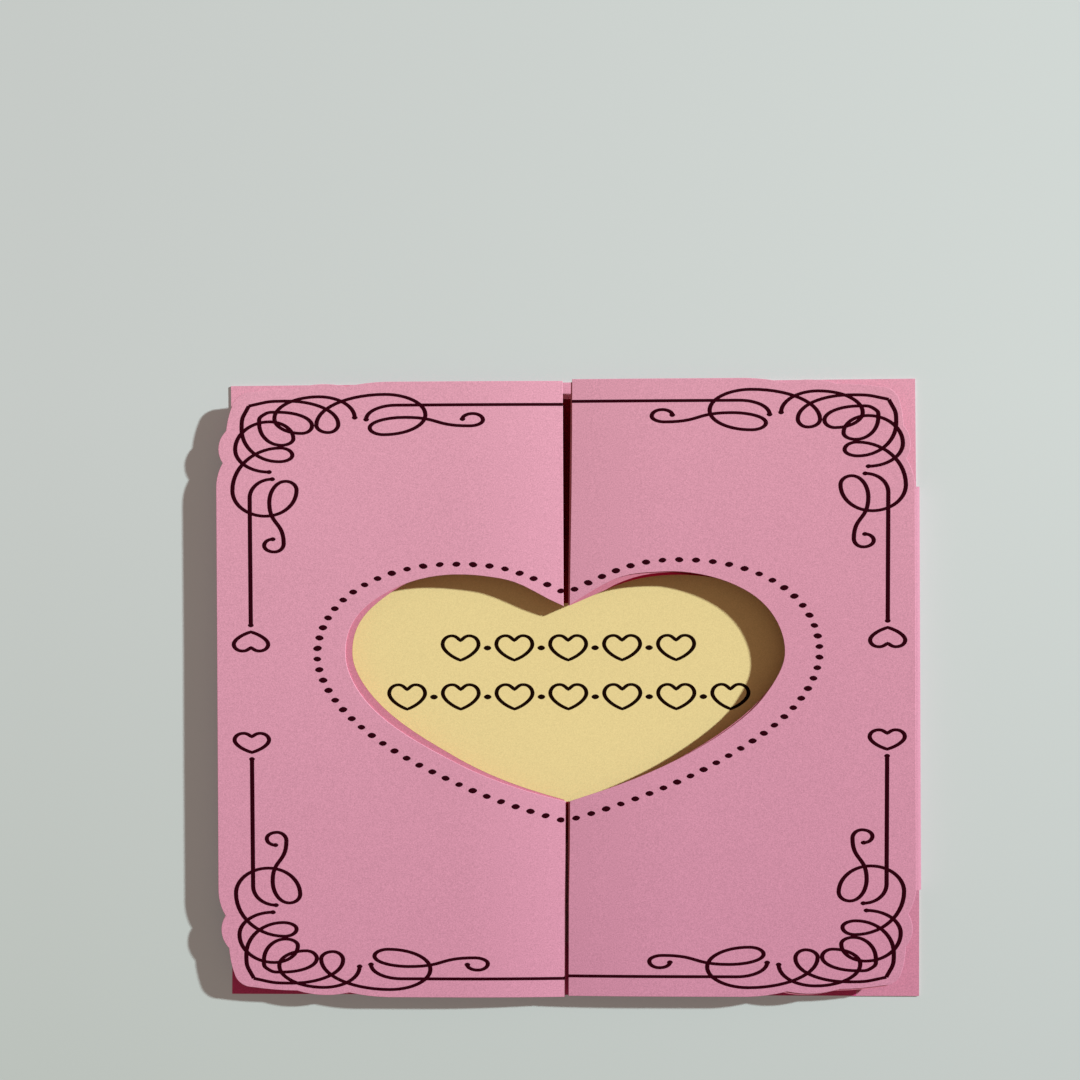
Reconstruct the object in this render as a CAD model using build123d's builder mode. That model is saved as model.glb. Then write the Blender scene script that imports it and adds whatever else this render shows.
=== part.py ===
from build123d import *
import os
from math import asin, cos, degrees, pi, sin

os.makedirs("parts", exist_ok=True)

# A gate-fold greeting card, lying closed on its back. One pink sheet makes the back panel and,
# folded up over it from both sides, two doors that share a heart-shaped window. A printed
# sheet is glued on each door and a cream panel on the inside. X runs across the card, Y up it,
# Z out of it, and the origin is the middle of the back panel's underside.

# Folded base sheet
card_width = 140.0
card_height = 125.4
base_thickness = 0.3
fold_radius = 2.0  # outside of the rounded fold
door_setback = 1.0  # the doors are shorter than the back panel by this
curl_run = 22.0  # width of each door that curls down to its free edge
left_curl_dip = 1.0
right_curl_dip = 0.5

# Meeting line of the two doors, which narrows towards the bottom
gap_left_edge = -2.1
gap_top = 1.7
gap_middle = 0.95  # at the window's cleft
gap_bottom = 0.7

# Printed front sheets
sheet_thickness = 0.25
sheet_overlap = 0.6  # the sheets are longer than the doors by this
left_sheet_overhang = 2.4  # past the side of the back panel
right_sheet_setback = 0.8
right_sheet_rise = 0.3

# Heart window: heights are from the card's middle
window_centre = -1.9
window_half_width = 44.5
window_top = 23.3
window_cleft = 16.7
window_tip = -22.9
door_window_shift = 1.0  # the doors' own window sits to the right of the sheets'
door_window_half_width = 44.1
door_window_belly = 0.25

# Cream panel inside
liner_thickness = 0.25
liner_margin = 8.0  # past the window, all round

# Proportions of every heart, as shares of its half width or of its height
heart_lobe = 0.49  # where the lobe is highest
heart_shoulder = 0.65  # where the heart is widest, up from its tip
heart_belly = 0.32
heart_lobe_lead = 0.22
heart_cleft_lead = 0.2
heart_cleft_rise = 0.62
heart_tip_lead = 0.59
heart_tip_rise = 0.245
round_turn = 0.5523  # handle length that makes a quarter ellipse

# Print. It is drawn with a round pen, then spread sideways by this ratio
spread = 1.6
ink_thickness = 0.08
pen_width = 0.4
pen_end_width = 0.62
pen_smoothness = 1.7  # straight steps in a curve: this times the root of its length
frame_left_margin = 6.67  # from the left sheet's side to the middle of the frame's line
frame_right_margin = 5.97
frame_end_margin = 4.1
frame_drop = 0.5  # the frame sits below the sheets' middle by this
rule_start = 18.8  # before the spread, from the frame's corner to the straight rule
rule_stop = 13.65  # from the middle of the side to the end of the rule
side_heart_half_width = 2.2
side_heart_height = 3.9
side_heart_cleft = 0.7
side_heart_tip = 12.3  # from the middle of the side to the heart's tip

# Dotted heart round the window
ring_half_width = 50.8
ring_shift = 0.65  # its middle lies to the right of the window's
ring_top = 26.0
ring_cleft = 19.1
ring_tip = -27.0
ring_dots = 44  # on each half
dot_width = 1.55
dot_height = 1.0
dot_sides = 6

# Two rows of small hearts and dots on the cream panel
row_pen_width = 0.52
row_heart_half_width = 2.3
row_heart_height = 5.0
row_heart_cleft = 1.0
row_pitch = 11.0
upper_row_y = 8.2
upper_row_hearts = 5
lower_row_y = -1.8
lower_row_hearts = 7

LEVEL = Vector(1, 0)
UPRIGHT = Vector(0, 1)

# Turning points of the scrolls at one corner of the frame, in scroll units, measured in from the
# corner along the bottom and up the side. Each has the direction in which the pen runs there.
# The scrolls mirror about the corner's diagonal, so half of each is listed.
scroll_unit = 1.0
long_scroll = [
    ((0, 0), Vector(3, -1).normalized()),
    ((4.85, -0.95), LEVEL),
    ((11.4, 3.8), UPRIGHT),
    ((10.1, 5.5), LEVEL),
    ((8.6, 3.95), UPRIGHT),
    ((17.3, -2.2), LEVEL),
    ((22.5, 2.0), UPRIGHT),
    ((17.2, 6.0), LEVEL),
    ((15.4, 4.6), UPRIGHT),
    ((19.8, 2.5), LEVEL),
    ((28.1, 4.3), LEVEL),
    ((29.8, 3.1), UPRIGHT),
    ((28.5, 1.8), LEVEL),
    ((27.2, 2.9), UPRIGHT),
]
inner_scroll = [
    ((1.85, 1.85), Vector(1, -1).normalized()),
    ((3.7, 1.3), LEVEL),
    ((8.05, 4.1), UPRIGHT),
    ((6.7, 5.65), LEVEL),
    ((3.25, 2.6), UPRIGHT),
    ((8.9, -1.8), LEVEL),
    ((13.5, 2.5), UPRIGHT),
]
rule_hook = [
    ((rule_start / scroll_unit, 0), LEVEL),
    ((14.95, 2.9), UPRIGHT),
]

# Scalloped corner of a door or sheet in scallop units, measured in from its side and from its
# end, before the spread: where the scallops meet, and the crown of each between two of those
scallop_unit = 1.0
scallop_ends = [(21.5, 0), (16.5, 0.95), (9.9, 1.3), (4.2, 2.0)]
scallop_crowns = [(18.4, 0.4), (13.2, 0.42), (7.0, 1.5)]
corner_crown = 2.75

# Derived sizes
fold_line = card_width / 2 - fold_radius
door_height = card_height - door_setback
sheet_height = door_height + sheet_overlap
left_sheet_edge = -card_width / 2 - left_sheet_overhang
right_sheet_edge = card_width / 2 - right_sheet_setback
fold_length = door_height - 2 * scallop_unit * scallop_ends[0][0]  # clear of the corners' cuts
door_middle = 2 * fold_radius - base_thickness / 2  # height of the door sheet's mid-surface
sheet_level = (base_thickness + sheet_thickness) / 2  # above the door's mid-surface
ink_level = (base_thickness + ink_thickness) / 2 + sheet_thickness
meeting_x = gap_left_edge + gap_bottom / 2
liner_width = 2 * (window_half_width + liner_margin)
liner_height = window_top - window_tip + 2 * liner_margin
liner_middle = (window_top + window_tip) / 2
liner_top = base_thickness + liner_thickness
frame_left = left_sheet_edge + frame_left_margin
frame_right = right_sheet_edge - frame_right_margin
frame_middle = (frame_left + frame_right) / 2
frame_half_width = (frame_right - frame_left) / 2 / spread  # before the spread
frame_half_height = sheet_height / 2 - frame_end_margin
ring_centre = window_centre + ring_shift
cut_height = 3 * fold_radius
cut_plane = Plane.XY.offset(fold_radius)  # between the back panel and the doors
window_plane = Plane((window_centre, 0, fold_radius))
door_window_plane = Plane((window_centre + door_window_shift, 0, fold_radius))


def door_section(side, level, thickness, dip, outer_x):
    """Section of one layer of a door: level, then curling down to the free edge."""
    radius = (curl_run**2 + dip**2) / (2 * dip)
    turn = degrees(asin(curl_run / radius))
    curl_start = (meeting_x + side * curl_run, door_middle - radius)
    with BuildLine() as section:
        curl = CenterArc(curl_start, radius + level, 90, side * turn)
        Line(curl @ 0, (outer_x, door_middle + level))
    trace(section.line, line_width=thickness)


def gate_outline(side, outer_x, height, middle_y):
    """Outline of a door or its front sheet: slanted at the gap, scalloped at the far corners."""

    def place(inward, downward):
        side_inset = scallop_unit * spread * inward
        end_inset = scallop_unit * downward
        return (outer_x - side * side_inset, middle_y + end * (height / 2 - end_inset))

    def gap_point(gap_width, y):
        return (gap_left_edge if side < 0 else gap_left_edge + gap_width, y)

    gap_ends = []
    side_ends = []
    for end, gap_width in ((1, gap_top), (-1, gap_bottom)):
        for start, crown, stop in zip(scallop_ends, scallop_crowns, scallop_ends[1:]):
            ThreePointArc(place(*start), place(*crown), place(*stop))
            ThreePointArc(place(*start[::-1]), place(*crown[::-1]), place(*stop[::-1]))
        last = scallop_ends[-1]
        ThreePointArc(place(*last), place(corner_crown, corner_crown), place(*last[::-1]))
        gap_ends.append(gap_point(gap_width, middle_y + end * height / 2))
        side_ends.append(place(*scallop_ends[0][::-1]))
        Line(gap_ends[-1], place(*scallop_ends[0]))
    gap_middle_point = gap_point(gap_middle, window_cleft)
    Line(gap_ends[0], gap_middle_point)
    Line(gap_middle_point, gap_ends[1])
    Line(*side_ends)


def half_heart(half_width, top, cleft, tip, belly=heart_belly):
    """Right half of a heart's outline, from the cleft over the lobe to the tip."""
    lobe_x = heart_lobe * half_width
    shoulder = tip + heart_shoulder * (top - tip)
    drop = shoulder - tip
    cleft_lead = (heart_cleft_lead * half_width, cleft + heart_cleft_rise * (top - cleft))
    lobe_lead = (lobe_x - heart_lobe_lead * half_width, top)
    lobe_leave = (lobe_x + round_turn * (half_width - lobe_x), top)
    side_lead = (half_width, shoulder + round_turn * (top - shoulder))
    side_leave = (half_width, shoulder - belly * drop)
    tip_lead = (heart_tip_lead * half_width, tip + heart_tip_rise * drop)
    Bezier((0, cleft), cleft_lead, lobe_lead, (lobe_x, top))
    Bezier((lobe_x, top), lobe_leave, side_lead, (half_width, shoulder))
    Bezier((half_width, shoulder), side_leave, tip_lead, (0, tip))


def pen_band(curve, line_width):
    """Band that the pen leaves along a curve, in straight steps, spread sideways."""
    steps = round(pen_smoothness * curve.length**0.5)
    left_side = []
    right_side = []
    for step in range(steps + 1):
        middle = curve @ (step / steps)
        run = curve % (step / steps)
        across = Vector(-run.Y, run.X) * line_width / 2
        left_side.append(((middle + across).X * spread, (middle + across).Y))
        right_side.append(((middle - across).X * spread, (middle - across).Y))
    with BuildLine() as band:
        Polyline(*left_side, *reversed(right_side), close=True)
    make_face(band.edges())


def print_dot(width, height):
    """Small oval of the print in a few straight sides, pointed to the left and right."""
    turns = [2 * pi * side / dot_sides for side in range(dot_sides)]
    Polygon(*((width / 2 * cos(turn), height / 2 * sin(turn)) for turn in turns))


def pen_stroke(turns):
    """Draw a stroke through its turning points, ending in a rounded dot."""
    for (start, start_run), (end, end_run) in zip(turns, turns[1:]):
        start_point = Vector(*start) * scroll_unit
        end_point = Vector(*end) * scroll_unit
        reach = (end_point - start_point) * round_turn
        leave = start_point + start_run * reach.dot(start_run)
        arrive = end_point - end_run * reach.dot(end_run)
        with BuildLine() as turn:
            curve = Bezier(start_point, leave, arrive, end_point)
        pen_band(curve, pen_width)
    with Locations((end_point.X * spread, end_point.Y)):
        print_dot(pen_end_width * spread, pen_end_width)


def swapped(turns):
    """Mirror a stroke about the corner's diagonal."""
    return [((y, x), Vector(run.Y, run.X)) for (x, y), run in turns]


def pen_heart(half_width, height, cleft_depth, line_width):
    """Outline of a heart that stands on its tip, drawn with the pen."""
    with BuildLine() as heart:
        half_heart(half_width, height, height - cleft_depth, 0)
    for curve in heart.edges():
        pen_band(curve, line_width)
    mirror(about=Plane.YZ)


# Scrolls of one corner, drawn about the frame's corner
with BuildSketch() as corner_scrolls:
    for scroll in (long_scroll, inner_scroll, rule_hook):
        pen_stroke(scroll)
        pen_stroke(swapped(scroll))

# Heart on each side rule
with BuildSketch() as side_heart:
    pen_heart(side_heart_half_width, side_heart_height, side_heart_cleft, pen_width)

# Frame: one quarter, mirrored to the rest
with BuildSketch() as pen_frame:
    frame_side = -frame_half_width * spread
    with Locations((frame_side, -frame_half_height)):
        add(corner_scrolls.sketch)
    with Locations((frame_side, -side_heart_tip)):
        add(side_heart.sketch)
    with Locations((frame_side, -rule_stop)):
        print_dot(pen_end_width * spread, pen_end_width)
        side_rule = frame_half_height - rule_start - rule_stop
        Rectangle(spread * pen_width, side_rule, align=(Align.CENTER, Align.MAX))
    with Locations((0, -frame_half_height)):
        end_rule = spread * (frame_half_width - rule_start)
        Rectangle(end_rule, pen_width, align=(Align.MAX, Align.CENTER))
    mirror(about=Plane.XZ)
    mirror(about=Plane.YZ)

# Dots of the ring stand at even steps of the pen's path, before the spread
with BuildLine() as ring:
    half_heart(ring_half_width / spread, ring_top, ring_cleft, ring_tip)
ring_path = ring.wire()
dot_step = ring_path.length / ring_dots
ring_spots = []
for i in range(ring_dots):
    spot = ring_path.position_at((i + 0.5) * dot_step, position_mode=PositionMode.LENGTH)
    ring_spots.append((ring_centre + spot.X * spread, spot.Y))
    ring_spots.append((ring_centre - spot.X * spread, spot.Y))

# Whole print of the two front sheets
with BuildSketch(cut_plane) as front_drawing:
    with Locations((frame_middle, -frame_drop)):
        add(pen_frame.sketch)
    with Locations(*ring_spots):
        print_dot(dot_width, dot_height)

# Base sheet: back panel, folds and doors in one piece
with BuildPart() as card_base:
    with BuildSketch():
        Rectangle(card_width, card_height)
        with Locations((card_width / 2, 0), (-card_width / 2, 0)):
            Rectangle(2 * fold_radius, fold_length, mode=Mode.SUBTRACT)
    extrude(amount=base_thickness)
    for side, dip in ((-1, left_curl_dip), (1, right_curl_dip)):
        with BuildSketch(Plane.XZ):
            with BuildLine():
                bend_radius = fold_radius - base_thickness / 2
                CenterArc((side * fold_line, fold_radius), bend_radius, -90 * side, 180)
            trace(line_width=base_thickness)
        extrude(amount=fold_length / 2, both=True)
        with BuildSketch(Plane.XZ):
            door_section(side, 0, base_thickness, dip, side * fold_line)
        extrude(amount=door_height / 2, both=True)
    with BuildSketch(cut_plane):
        Rectangle(2 * fold_line, card_height)
        for side in (-1, 1):
            with BuildLine():
                gate_outline(side, side * fold_line, door_height, 0)
            make_face(mode=Mode.SUBTRACT)
    extrude(amount=cut_height, mode=Mode.SUBTRACT)
    with BuildSketch(door_window_plane):
        with BuildLine():
            half_heart(door_window_half_width, window_top, window_cleft, window_tip,
                       door_window_belly)
            mirror(about=Plane.YZ)
        make_face()
    extrude(amount=cut_height, mode=Mode.SUBTRACT)
card_base.part.label = "card_base"

# Cream panel glued on the back panel
with BuildPart() as inner_panel:
    with BuildSketch(Plane((window_centre, liner_middle, base_thickness))):
        Rectangle(liner_width, liner_height)
    extrude(amount=liner_thickness)
inner_panel.part.label = "inner_panel"

# Printed sheet on the left door
with BuildPart() as left_front_panel:
    with BuildSketch(Plane.XZ):
        door_section(-1, sheet_level, sheet_thickness, left_curl_dip, left_sheet_edge)
    extrude(amount=sheet_height / 2, both=True)
    with BuildSketch(cut_plane):
        with BuildLine():
            gate_outline(-1, left_sheet_edge, sheet_height, 0)
        make_face()
    extrude(amount=cut_height, mode=Mode.INTERSECT)
    with BuildSketch(window_plane):
        with BuildLine():
            half_heart(window_half_width, window_top, window_cleft, window_tip)
            mirror(about=Plane.YZ)
        make_face()
    extrude(amount=cut_height, mode=Mode.SUBTRACT)
left_front_panel.part.label = "left_front_panel"

# Printed sheet on the right door
with BuildPart() as right_front_panel:
    with BuildSketch(Plane.XZ):
        door_section(1, sheet_level, sheet_thickness, right_curl_dip, right_sheet_edge)
    extrude(amount=sheet_height / 2 + right_sheet_rise, both=True)
    with BuildSketch(cut_plane):
        with BuildLine():
            gate_outline(1, right_sheet_edge, sheet_height, right_sheet_rise)
        make_face()
    extrude(amount=cut_height, mode=Mode.INTERSECT)
    with BuildSketch(window_plane):
        with BuildLine():
            half_heart(window_half_width, window_top, window_cleft, window_tip)
            mirror(about=Plane.YZ)
        make_face()
    extrude(amount=cut_height, mode=Mode.SUBTRACT)
right_front_panel.part.label = "right_front_panel"

# Ink on the left sheet, which follows its curl
with BuildPart() as left_print:
    with BuildSketch(Plane.XZ):
        door_section(-1, ink_level, ink_thickness, left_curl_dip, left_sheet_edge)
    extrude(amount=sheet_height / 2, both=True)
    extrude(front_drawing.sketch, amount=cut_height, mode=Mode.INTERSECT)
    with BuildSketch(cut_plane):
        with BuildLine():
            gate_outline(-1, left_sheet_edge, sheet_height, 0)
        make_face()
    extrude(amount=cut_height, mode=Mode.INTERSECT)
left_print.part.label = "left_print"

# Ink on the right sheet
with BuildPart() as right_print:
    with BuildSketch(Plane.XZ):
        door_section(1, ink_level, ink_thickness, right_curl_dip, right_sheet_edge)
    extrude(amount=sheet_height / 2, both=True)
    extrude(front_drawing.sketch, amount=cut_height, mode=Mode.INTERSECT)
    with BuildSketch(cut_plane):
        with BuildLine():
            gate_outline(1, right_sheet_edge, sheet_height, right_sheet_rise)
        make_face()
    extrude(amount=cut_height, mode=Mode.INTERSECT)
right_print.part.label = "right_print"

# Heart of the rows on the cream panel
with BuildSketch() as row_heart:
    pen_heart(row_heart_half_width, row_heart_height, row_heart_cleft, row_pen_width)

# Ink on the cream panel: two rows of hearts with dots between
with BuildPart() as inner_print:
    with BuildSketch(Plane((ring_centre, 0, liner_top))):
        for row_y, hearts in ((upper_row_y, upper_row_hearts), (lower_row_y, lower_row_hearts)):
            with Locations((0, row_y)):
                with GridLocations(row_pitch, row_pitch, hearts, 1):
                    with Locations((0, -row_heart_height / 2)):
                        add(row_heart.sketch)
                with GridLocations(row_pitch, row_pitch, hearts - 1, 1):
                    print_dot(dot_width, dot_height)
    extrude(amount=ink_thickness)
inner_print.part.label = "inner_print"

export_step(card_base.part, "parts/card_base.step")
export_step(inner_panel.part, "parts/inner_panel.step")
export_step(left_front_panel.part, "parts/left_front_panel.step")
export_step(right_front_panel.part, "parts/right_front_panel.step")
export_step(left_print.part, "parts/left_print.step")
export_step(right_print.part, "parts/right_print.step")
export_step(inner_print.part, "parts/inner_print.step")
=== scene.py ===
"""Looks of a gate-fold greeting card that lies closed on its back.

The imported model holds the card's pieces. This script makes the finely curved sheets and the
smooth printed strokes that stand for the coarser solids, and gives each piece its paper or ink.
Lengths are in millimetres. They are turned into metres where a piece is set in the scene.
"""

from __future__ import annotations

import logging
import math
import random
from collections.abc import Sequence
from dataclasses import dataclass, field
from enum import Enum

import bmesh
import bpy
from bmesh.types import BMEdge, BMesh, BMFace
from bpy.types import Curve, Material, Node, NodeSocket, NodeTree, Object
from mathutils import Matrix, Vector, geometry, noise
from mathutils.bvhtree import BVHTree

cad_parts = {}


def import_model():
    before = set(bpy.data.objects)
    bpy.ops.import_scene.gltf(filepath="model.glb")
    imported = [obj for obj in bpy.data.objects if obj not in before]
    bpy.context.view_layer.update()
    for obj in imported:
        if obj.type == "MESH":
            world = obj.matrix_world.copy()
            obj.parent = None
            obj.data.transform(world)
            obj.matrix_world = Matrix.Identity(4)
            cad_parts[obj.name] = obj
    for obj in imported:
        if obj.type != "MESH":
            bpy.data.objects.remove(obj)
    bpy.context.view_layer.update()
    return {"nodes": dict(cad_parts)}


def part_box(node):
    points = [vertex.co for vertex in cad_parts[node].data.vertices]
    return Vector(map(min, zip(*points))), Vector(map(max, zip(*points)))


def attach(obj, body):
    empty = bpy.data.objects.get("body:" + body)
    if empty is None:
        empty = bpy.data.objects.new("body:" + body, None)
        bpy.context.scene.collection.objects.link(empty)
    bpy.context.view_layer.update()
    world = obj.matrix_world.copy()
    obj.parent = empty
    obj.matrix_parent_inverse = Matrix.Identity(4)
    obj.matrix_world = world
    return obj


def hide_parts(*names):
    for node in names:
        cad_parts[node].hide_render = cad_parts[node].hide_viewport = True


LOG = logging.getLogger("card_scene")

MM = 0.001
BODY = "root"

LEVEL = (1.0, 0.0)  # ways that the pen runs
UPRIGHT = (0.0, 1.0)

ROUND_TURN = 0.5523  # how far a handle reaches when an arc is a quarter of a circle
CUT_REACH = 1e-5  # how near a cutting plane a point counts as on it
COPLANAR = math.radians(0.5)  # faces that meet at less than this are one flat face
FACES_UP = 0.9  # upward share of a level face's direction, at least
FACES_SIDEWAYS = 0.5  # upward share of a cut edge's direction, at most

Colour = tuple[float, float, float, float]
Turn = tuple[tuple[float, float], tuple[float, float]]
Arc = tuple[Vector, Vector, Vector, Vector]


def linear(red: int, green: int, blue: int) -> Colour:
    """Turn a display colour into scene light.

    Args:
        red: Red, from 0 to 255.
        green: Green, from 0 to 255.
        blue: Blue, from 0 to 255.

    Returns:
        The colour that shows as the given one, with full alpha.
    """
    shares = [value / 255 for value in (red, green, blue)]
    light = [s / 12.92 if s <= 0.04045 else ((s + 0.055) / 1.055) ** 2.4 for s in shares]
    return (*light, 1.0)


def feed(node: Node, takes: dict[str | int, object]) -> None:
    """Give a node's inputs what they take.

    Args:
        node: The node.
        takes: A socket or a plain value for each input, by the input's name or number.
    """
    for key, value in takes.items():
        if isinstance(value, NodeSocket):
            node.id_data.links.new(value, node.inputs[key])
        else:
            node.inputs[key].default_value = value


def share_between(tree: NodeTree, value: NodeSocket, ends: tuple[float, float]) -> NodeSocket:
    """Add a node that says how far a value has come from one end to the other.

    Args:
        tree: The nodes that it is added to.
        value: The value.
        ends: Where the share is 0 and where it is 1.

    Returns:
        The share's socket.
    """
    share = tree.nodes.new("ShaderNodeMapRange")
    feed(share, {"Value": value, "From Min": ends[0], "From Max": ends[1]})
    return share.outputs["Result"]


def mixed_tint(tree: NodeTree, share: NodeSocket, first: object, second: object) -> NodeSocket:
    """Add a node that mixes two tints.

    Args:
        tree: The nodes that it is added to.
        share: How much of the second tint there is.
        first: First tint, a colour or a socket.
        second: Second tint.

    Returns:
        The mixed tint's socket.
    """
    mix = tree.nodes.new("ShaderNodeMix")
    mix.data_type = "RGBA"
    feed(mix, {0: share, 6: first, 7: second})
    return mix.outputs[2]


class Slot(Enum):
    """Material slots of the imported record."""

    BASE_CARD = "base_card"
    CREAM_PAPER = "cream_paper"
    PRINTED_PINK = "printed_pink_paper"
    DARK_INK = "dark_ink"


class Side(Enum):
    """The two doors, each with the direction from the gap to its fold."""

    LEFT = -1
    RIGHT = 1


@dataclass(frozen=True)
class Nudge:
    """Small smooth shift of whatever lies near one point of the card."""

    at: tuple[float, float]
    by: tuple[float, float]
    reach: tuple[float, float]

    def shift(self, place: Vector) -> Vector:
        """Work out how far a place on the card moves.

        Args:
            place: The place.

        Returns:
            Its move.
        """
        across = (place.x - self.at[0]) / self.reach[0]
        up = (place.y - self.at[1]) / self.reach[1]
        return Vector((*self.by, 0.0)) * max(0.0, 1.0 - across**2 - up**2) ** 2


def nudged(place: Vector, nudges: tuple[Nudge, ...]) -> Vector:
    """Return a place after all the nudges that reach it."""
    return sum((nudge.shift(place) for nudge in nudges), place.copy())


WINDOW_NUDGES = (
    Nudge((-38.0, -4.8), (-0.42, -0.42), (16.0, 16.0)),
    Nudge((-20.0, -17.0), (-0.15, -0.35), (20.0, 20.0)),
    Nudge((-43.6, 14.0), (-0.35, 0.15), (9.0, 9.0)),
    Nudge((-11.1, 21.2), (0.0, 0.35), (7.0, 7.0)),
    Nudge((36.0, 19.0), (0.3, 0.38), (14.0, 14.0)),
    Nudge((40.8, 1.6), (-0.25, 0.2), (8.0, 8.0)),
)
SHEET_NUDGES = {
    Side.LEFT: WINDOW_NUDGES
    + (
        Nudge((-2.1, -23.5), (0.33, 0.0), (4.0, 26.0)),
        Nudge((-72.0, 47.0), (-0.55, 0.15), (8.0, 13.0)),
        Nudge((-72.0, -46.0), (-0.3, 0.0), (8.0, 12.0)),
    ),
    Side.RIGHT: WINDOW_NUDGES
    + (
        Nudge((7.5, 21.0), (0.0, 0.75), (10.0, 10.0)),
        Nudge((19.0, 23.3), (0.0, 0.5), (16.0, 10.0)),
        Nudge((-0.8, 36.0), (0.36, 0.0), (4.0, 60.0)),
        Nudge((-1.2, -23.5), (0.33, 0.0), (4.0, 26.0)),
        Nudge((66.5, 50.0), (-0.6, 0.1), (14.0, 22.0)),
        Nudge((66.5, -48.0), (-0.6, 0.35), (14.0, 24.0)),
        Nudge((55.0, -61.0), (-0.1, 0.35), (22.0, 8.0)),
    ),
}
DOOR_NUDGES = WINDOW_NUDGES + (
    Nudge((19.0, 23.3), (0.0, 0.35), (16.0, 10.0)),
    Nudge((-31.0, 22.5), (-0.25, 0.45), (13.0, 10.0)),
    Nudge((0.8, 17.2), (0.0, 0.45), (3.0, 4.0)),
)
BACK_NUDGES = (
    Nudge((-70.0, 62.7), (-0.3, -0.62), (45.0, 40.0)),
    Nudge((70.0, 62.7), (-0.55, 0.0), (20.0, 70.0)),
    Nudge((70.0, -62.7), (-0.25, 0.0), (20.0, 40.0)),
    Nudge((-70.0, -62.7), (-0.55, 0.0), (20.0, 45.0)),
)
RING_NUDGES = {
    Side.LEFT: (
        Nudge((-33.0, 24.5), (0.1, -0.72), (28.0, 28.0)),
        Nudge((-9.0, 22.5), (0.1, 0.3), (15.0, 15.0)),
        Nudge((-44.0, -7.0), (-0.55, -0.55), (24.0, 24.0)),
        Nudge((-22.0, -18.0), (-0.15, -0.35), (24.0, 24.0)),
    ),
    Side.RIGHT: (
        Nudge((6.0, 23.5), (0.0, 0.65), (23.0, 23.0)),
        Nudge((2.0, -26.5), (0.0, 0.42), (32.0, 32.0)),
        Nudge((43.0, -5.0), (0.25, -0.25), (15.0, 15.0)),
        Nudge((44.0, 19.0), (0.12, 0.15), (12.0, 12.0)),
    ),
}


@dataclass(frozen=True)
class Drift:
    """How far one side's border is printed out of place, at the middle and per millimetre up."""

    across: float
    up: float
    across_per_mm: float
    up_per_mm: float

    def shift(self, place: Vector) -> Vector:
        """Return how far a place in the border is off."""
        across = self.across + self.across_per_mm * place.y
        return Vector((across, self.up + self.up_per_mm * place.y, 0.0))


BORDER_DRIFT = {
    Side.LEFT: Drift(0.06, 0.0, -0.005, -0.003),
    Side.RIGHT: Drift(-0.1, 0.58, 0.0084, -0.0033),
}


class PaperGrain:
    """Shader group for uncoated paper: a mottled tint, darker down the card as painted shade, and a
    height.
    """

    NAME = "paper_grain"
    FINE = (4.0, 0.62)  # detail and roughness of the grain
    BROAD = (3.0, 0.5)  # and of the clouds
    CLOUD_PER_METRE = 45.0
    MIDDLE = 0.5  # of what a noise texture gives
    ENDS = (62 * MM, -62 * MM)  # heights of the upper and the lower tint; a darker lower tint is painted shade

    def __init__(self) -> None:
        """Build the group once, for every paper and ink to share."""
        self.tree = bpy.data.node_groups.new(self.NAME, "ShaderNodeTree")
        self._open_sockets()
        self._wire()

    def _open_sockets(self) -> None:
        """Name what a material gives the group and takes from it."""
        socket = self.tree.interface.new_socket
        for name in ("Upper Tint", "Lower Tint"):
            socket(name, in_out="INPUT", socket_type="NodeSocketColor")
        for name in ("Speckle", "Cloud", "Grain per mm"):
            socket(name, in_out="INPUT", socket_type="NodeSocketFloat")
        socket("Color", in_out="OUTPUT", socket_type="NodeSocketColor")
        socket("Height", in_out="OUTPUT", socket_type="NodeSocketFloat")

    def _noise(self, place: NodeSocket, scale: float, layers: tuple[float, float]) -> NodeSocket:
        """Add a noise texture that reads the given coordinates.

        Args:
            place: Coordinates that it is read at.
            scale: How many spots it has to a unit of them.
            layers: How many finer layers it has, and their weight.

        Returns:
            The noise's socket.
        """
        texture = self.tree.nodes.new("ShaderNodeTexNoise")
        detail, roughness = layers
        feed(texture, {"Vector": place, "Scale": scale, "Detail": detail, "Roughness": roughness})
        return texture.outputs[0]

    def _scaled(self, vector: NodeSocket, scale: NodeSocket) -> NodeSocket:
        """Add a node that scales a vector.

        Args:
            vector: The vector, a place or a tint.
            scale: What it is multiplied by.

        Returns:
            The scaled vector's socket.
        """
        node = self.tree.nodes.new("ShaderNodeVectorMath")
        node.operation = "SCALE"
        feed(node, {0: vector, "Scale": scale})
        return node.outputs[0]

    def _math(self, operation: str, first: object, second: object) -> NodeSocket:
        """Add one sum of two values, each a socket or a number.

        Args:
            operation: Blender's name of the operation.
            first: First value.
            second: Second value.

        Returns:
            The result's socket.
        """
        node = self.tree.nodes.new("ShaderNodeMath")
        node.operation = operation
        feed(node, {0: first, 1: second})
        return node.outputs[0]

    def _wire(self) -> None:
        """Join the noise layers to the tint and the height."""
        nodes = self.tree.nodes
        given = nodes.new("NodeGroupInput").outputs
        place = nodes.new("ShaderNodeTexCoord").outputs["Object"]
        per_metre = self._math("MULTIPLY", given["Grain per mm"], 1 / MM)
        speckle = self._noise(self._scaled(place, per_metre), 1.0, self.FINE)
        cloud = self._noise(place, self.CLOUD_PER_METRE, self.BROAD)
        shade: object = 1.0
        for layer, amount in ((speckle, given["Speckle"]), (cloud, given["Cloud"])):
            swing = self._math("SUBTRACT", layer, self.MIDDLE)
            shade = self._math("ADD", self._math("MULTIPLY", swing, amount), shade)
        apart = nodes.new("ShaderNodeSeparateXYZ")
        feed(apart, {0: place})
        down = share_between(self.tree, apart.outputs["Y"], self.ENDS)
        tint = mixed_tint(self.tree, down, given["Upper Tint"], given["Lower Tint"])
        made = {"Color": self._scaled(tint, shade), "Height": speckle}
        feed(nodes.new("NodeGroupOutput"), made)


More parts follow.
